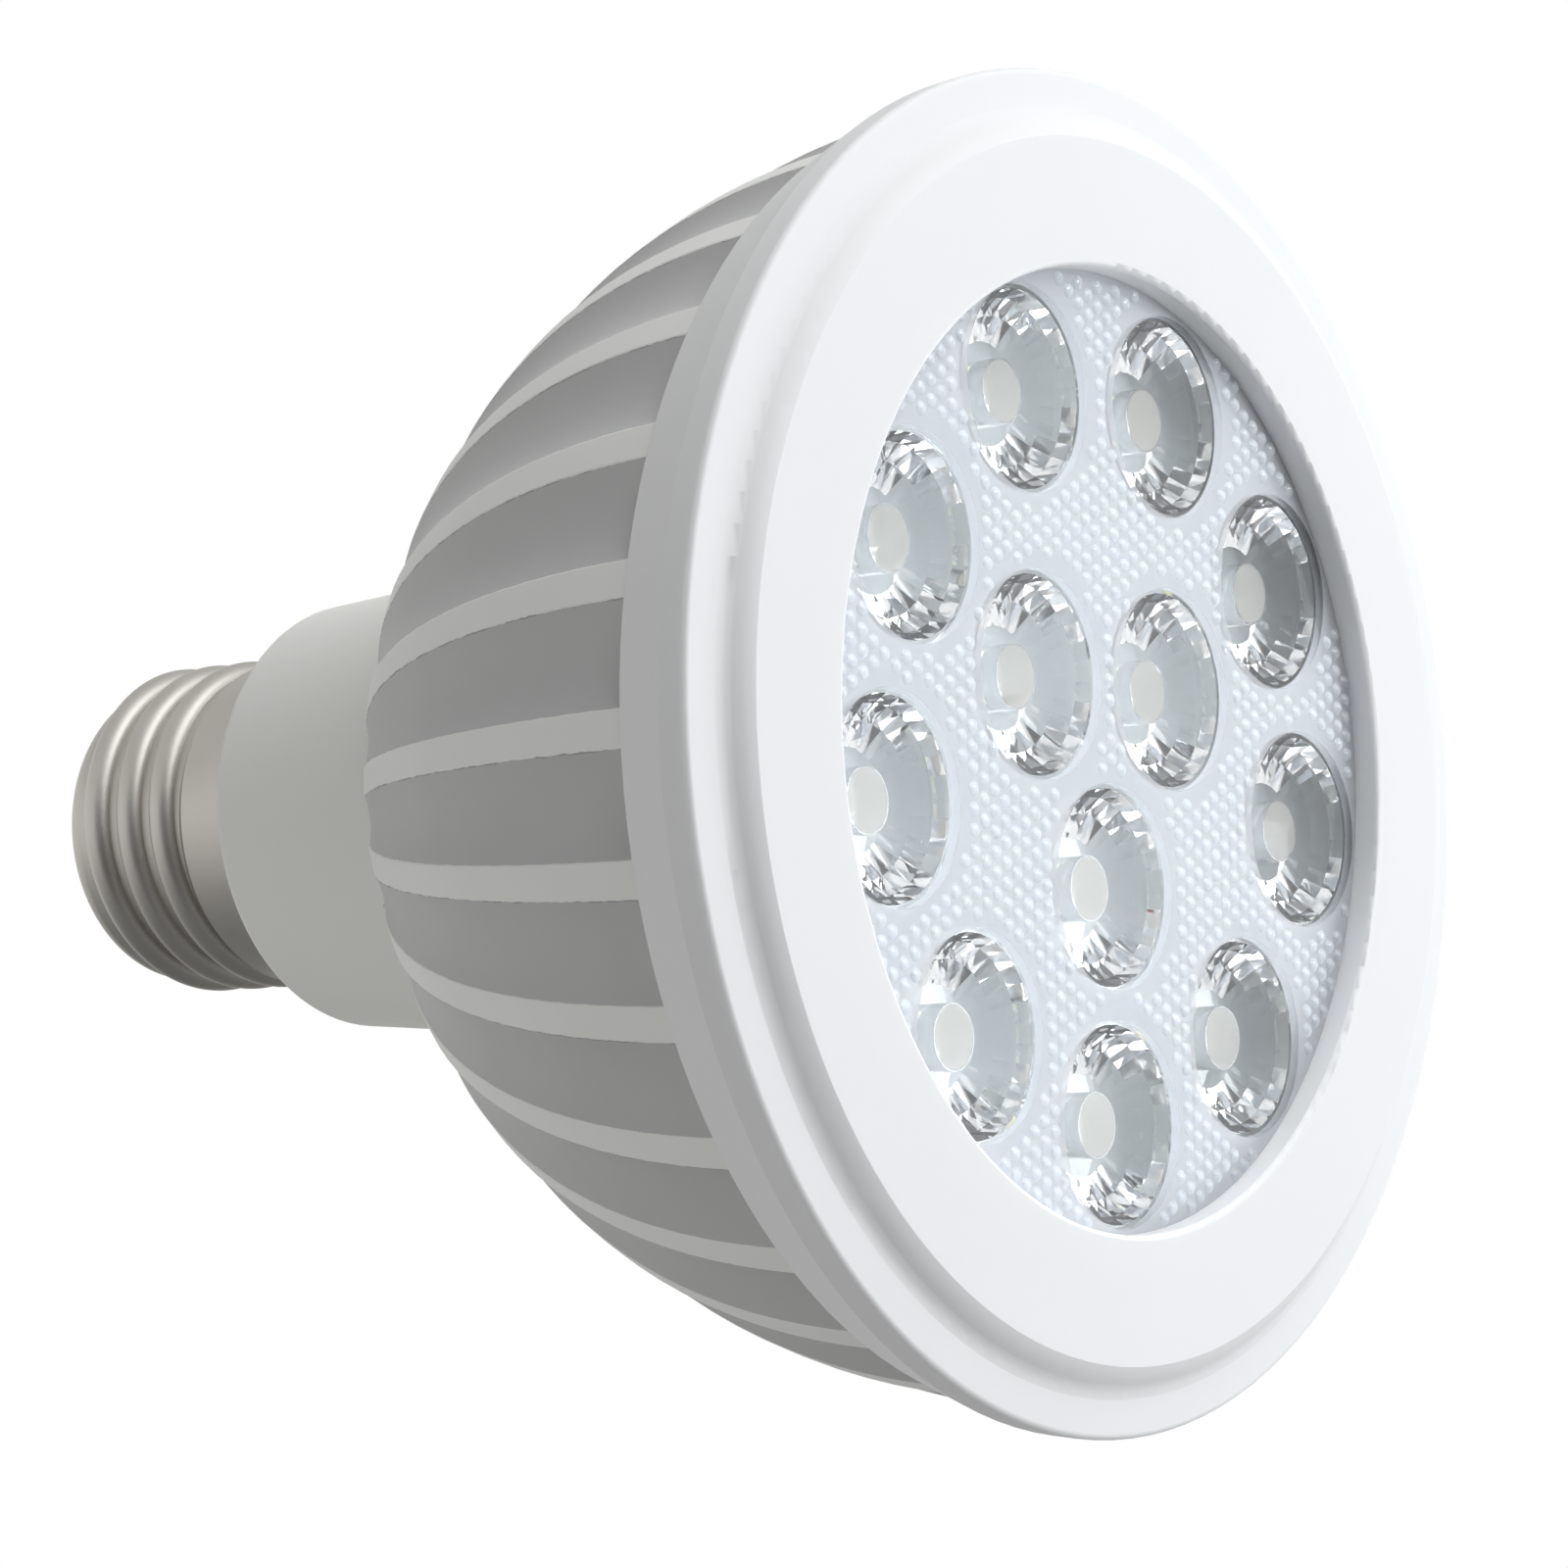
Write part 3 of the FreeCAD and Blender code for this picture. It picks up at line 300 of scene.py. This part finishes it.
bpy.ops.object.select_all(action="DESELECT")
bpy.ops.mesh.primitive_uv_sphere_add(segments=12, ring_count=12, radius=BUMP_SPHERE,
                                     location=(0, 0, 0))
bumps = bpy.context.object
bumps.name = "lens_bumps"
bpy.ops.object.mode_set(mode="EDIT")
bpy.ops.mesh.bisect(plane_co=(0, 0, -BUMP_CUT), plane_no=(0, 0, 1), clear_outer=True,
                    use_fill=True)
bpy.ops.mesh.select_all(action="SELECT")
bpy.ops.transform.translate(value=(0, 0, BUMP_CUT + BUMP_FOOT))
bpy.ops.object.mode_set(mode="OBJECT")
for name, count, offset in (("across", COLUMNS, (2 * BUMP_COLUMN / 1000, 0, 0)),
                            ("along", ROWS, (0, BUMP_PITCH / 1000, 0))):
    array = bumps.modifiers.new(name, "ARRAY")
    array.count = count
    array.use_relative_offset = False
    array.use_constant_offset = True
    array.constant_offset_displace = offset
    bpy.ops.object.modifier_apply(modifier=name)
first = Vector((-(COLUMNS - 1) * BUMP_COLUMN / 1000, -(ROWS - 1) * BUMP_PITCH / 2000, 0))
bpy.ops.object.mode_set(mode="EDIT")
bpy.ops.mesh.select_all(action="SELECT")
bpy.ops.transform.translate(value=first)
bpy.ops.mesh.duplicate()
bpy.ops.transform.translate(value=(BUMP_COLUMN / 1000, BUMP_PITCH / 2000, 0))
bpy.ops.mesh.select_all(action="DESELECT")
bpy.ops.object.mode_set(mode="OBJECT")
lens_places = []
for ring, count in RINGS:
    for number in range(count):
        angle = math.pi / 2 + 2 * math.pi * number / count
        lens_places.append((ring * math.cos(angle), ring * math.sin(angle)))
dome_size = len(bumps.data.vertices) // (2 * COLUMNS * ROWS)
for start in range(0, len(bumps.data.vertices), dome_size):
    dome = bumps.data.vertices[start:start + dome_size]
    x = sum(vertex.co.x for vertex in dome) * 1000 / dome_size
    y = sum(vertex.co.y for vertex in dome) * 1000 / dome_size
    nearest_lens = min(math.hypot(x - u, y - v) for u, v in lens_places)
    if nearest_lens < WINDOW_RADIUS + BUMP_MARGIN or math.hypot(x, y) > FIELD_RADIUS:
        for vertex in dome:
            vertex.select = True
bpy.ops.object.mode_set(mode="EDIT")
bpy.ops.mesh.delete(type="VERT")
bpy.ops.object.mode_set(mode="OBJECT")
bpy.ops.object.shade_smooth_by_angle(angle=math.radians(50))
bump_finish = Finish("lens_bump_acrylic")
bump_finish.show(bump_finish.mix(0.25, acrylic(bump_finish, 0.05), milk(bump_finish, 0.12)))
dress(bump_finish, bumps)
bumps.visible_shadow = False
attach(bumps, "root")

# Emitters: a white ceramic base with a phosphor dome, soldered on a white-faced
# aluminium board under each collimator.
DOME_FOOT = 10.1
emitter_finish = Finish("emitter")
_, _, depth = emitter_finish.axes()
emitter_finish.show(emitter_finish.shader(
    Base_Color=emitter_finish.blend(depth.ramp(DOME_FOOT - 0.05, DOME_FOOT + 0.05),
                                    (0.84, 0.76, 0.42, 1), (0.8, 0.8, 0.78, 1)),
    Roughness=0.35))
for number in range(1, 13):
    dress(emitter_finish, nodes[f"led_{number:02d}"])
# The white-faced board is coloured mid grey here: painted shade for the closed space behind the
# lens.
board_painted_shade = Finish("board_mask_painted_shade")
board_painted_shade.show(board_painted_shade.shader(
    Base_Color=board_painted_shade.blend(board_painted_shade.noise(6.0),
                                  (0.37, 0.39, 0.395, 1), (0.415, 0.435, 0.44, 1)),
    Roughness=0.5))
dress(board_painted_shade, nodes["led_board"])

# Heat sink: one aluminium casting. The flutes keep the grey cast skin and satin paint,
# and the rib tops are turned true, which leaves them paler with slightly ragged edges.
BOWL_CENTRE, BOWL_HEIGHT, BOWL_RADIUS = -15.333, 3.65, 60.823
RIB_COUNT, RIB_PHASE = 30, -0.75
casting = Finish("casting_paint")
x, y, depth = casting.axes()
reach = (x * x + y * y).root() - BOWL_CENTRE
rise = depth - BOWL_HEIGHT
below_arc = BOWL_RADIUS - (reach * reach + rise * rise).root()
turn = (y.maths("ARCTAN2", y, x) - math.radians(RIB_PHASE)) * (RIB_COUNT / (2 * math.pi))
trailing_side = (turn - turn.maths("ROUND", turn)).ramp(-0.03, 0.0, 1.0, 0.0)
ragged = below_arc + (0.02 + 0.05 * trailing_side) * (casting.noise(0.5, 3.0) - 0.5)
flute = ragged.ramp(0.045, 0.075)
fine = casting.noise(0.25, 3.0)
broad = casting.noise(7.0, 2.0)
broken = casting.noise(1.6, 2.0).ramp(0.42, 0.56)
# A broken dark line along the trailing edge of each rib is partly a casting flash line and partly
# painted shadow under the step.
flash_and_shadow_line = ragged.band(0.04, 0.06, 0.08, 0.11) * trailing_side * broken
rib_colour = casting.blend(broad, (0.815, 0.82, 0.785, 1), (0.855, 0.86, 0.825, 1))
flute_colour = casting.blend(broad, (0.485, 0.485, 0.48, 1), (0.52, 0.52, 0.515, 1))
painted = casting.blend(flute, rib_colour, flute_colour)
casting.show(casting.shader(
    Base_Color=casting.blend(flash_and_shadow_line * 0.55, painted, (0.16, 0.16, 0.16, 1)),
    Roughness=0.48 + 0.08 * fine,
    Normal=casting.bump(0.006 * fine + 0.02 * casting.noise(2.5, 2.0))))
dress(casting, nodes["heat_sink"])

# Driver housing: the plastic neck between the casting and the screw base, moulded with
# a fine satin surface.
neck_finish = Finish("neck_plastic")
fine = neck_finish.noise(0.3, 2.0)
neck_finish.show(neck_finish.shader(
    Base_Color=neck_finish.blend(neck_finish.noise(12.0, 1.0),
                                 (0.81, 0.815, 0.77, 1), (0.84, 0.845, 0.80, 1)),
    Roughness=0.5 + 0.05 * fine, Normal=neck_finish.bump(0.003 * fine)))
dress(neck_finish, nodes["driver_housing"])

# Screw base: nickel-plated sheet with a rolled thread, a black glass insulator and a
# tinned contact.
nickel = Finish("nickel_plate")
tarnish = nickel.noise(5.0, 4.0)
fine = nickel.noise(0.4, 3.0, (1, 1, 3))
nickel.show(nickel.shader(
    Base_Color=nickel.blend(tarnish, (0.50, 0.48, 0.44, 1), (0.60, 0.58, 0.54, 1)), Metallic=1.0,
    Roughness=0.40 + 0.12 * tarnish, Normal=nickel.bump(0.003 * fine)))
dress(nickel, nodes["screw_shell"])
glass_black = Finish("insulator_glass")
glass_black.show(glass_black.shader(
    Base_Color=glass_black.blend(glass_black.noise(2.0),
                                 (0.012, 0.012, 0.014, 1), (0.03, 0.03, 0.032, 1)),
    Roughness=0.12))
dress(glass_black, nodes["base_insulator"])
contact_finish = Finish("tinned_contact")
worn = contact_finish.noise(1.2, 3.0)
contact_finish.show(contact_finish.shader(
    Base_Color=contact_finish.blend(worn, (0.62, 0.58, 0.5, 1), (0.78, 0.75, 0.7, 1)), Metallic=1.0,
    Roughness=0.25 + 0.2 * worn))
dress(contact_finish, nodes["centre_contact"])


# Screws, thermal pad, driver board with its components, and wires: the closed lamp hides
# them all, and each has a plain mottled finish of its own.
def inner_finish(name, low, high, roughness, metallic=0.0):
    """A mottled finish for pieces that the closed lamp hides."""
    finish = Finish(name)
    mottle = finish.noise(1.5, 2.0)
    finish.show(finish.shader(
        Base_Color=finish.blend(mottle, (*low, 1), (*high, 1)), Metallic=metallic,
        Roughness=roughness + 0.1 * mottle))
    return finish


dress(inner_finish("zinc_screws", (0.5, 0.5, 0.5), (0.64, 0.64, 0.63), 0.3, metallic=1.0),
      nodes["board_screws"], nodes["housing_screws"])
dress(inner_finish("pad_silicone", (0.3, 0.32, 0.35), (0.38, 0.4, 0.43), 0.7),
      nodes["thermal_pad"])
dress(inner_finish("board_laminate", (0.02, 0.14, 0.05), (0.03, 0.2, 0.07), 0.4),
      nodes["driver_board"])
dress(inner_finish("ferrite", (0.03, 0.03, 0.032), (0.06, 0.06, 0.062), 0.7),
      nodes["transformer_core"], nodes["choke"])
dress(inner_finish("tape", (0.66, 0.46, 0.03), (0.75, 0.55, 0.06), 0.4),
      nodes["transformer_winding"])
dress(inner_finish("can_sleeve", (0.015, 0.02, 0.05), (0.03, 0.035, 0.07), 0.3),
      nodes["input_capacitor"], nodes["output_capacitor"])
dress(inner_finish("film_dip", (0.35, 0.02, 0.015), (0.45, 0.04, 0.03), 0.35),
      nodes["film_capacitor"])
dress(inner_finish("epoxy", (0.012, 0.012, 0.013), (0.025, 0.025, 0.027), 0.5),
      nodes["bridge_rectifier"], nodes["controller_chip"], nodes["switching_transistor"])
dress(inner_finish("red_sleeve", (0.4, 0.01, 0.01), (0.5, 0.02, 0.02), 0.45),
      nodes["led_wire_positive"])
dress(inner_finish("black_sleeve", (0.012, 0.012, 0.012), (0.02, 0.02, 0.02), 0.45),
      nodes["led_wire_negative"], nodes["live_wire"])
dress(inner_finish("white_sleeve", (0.68, 0.68, 0.66), (0.75, 0.75, 0.73), 0.45),
      nodes["neutral_wire"])
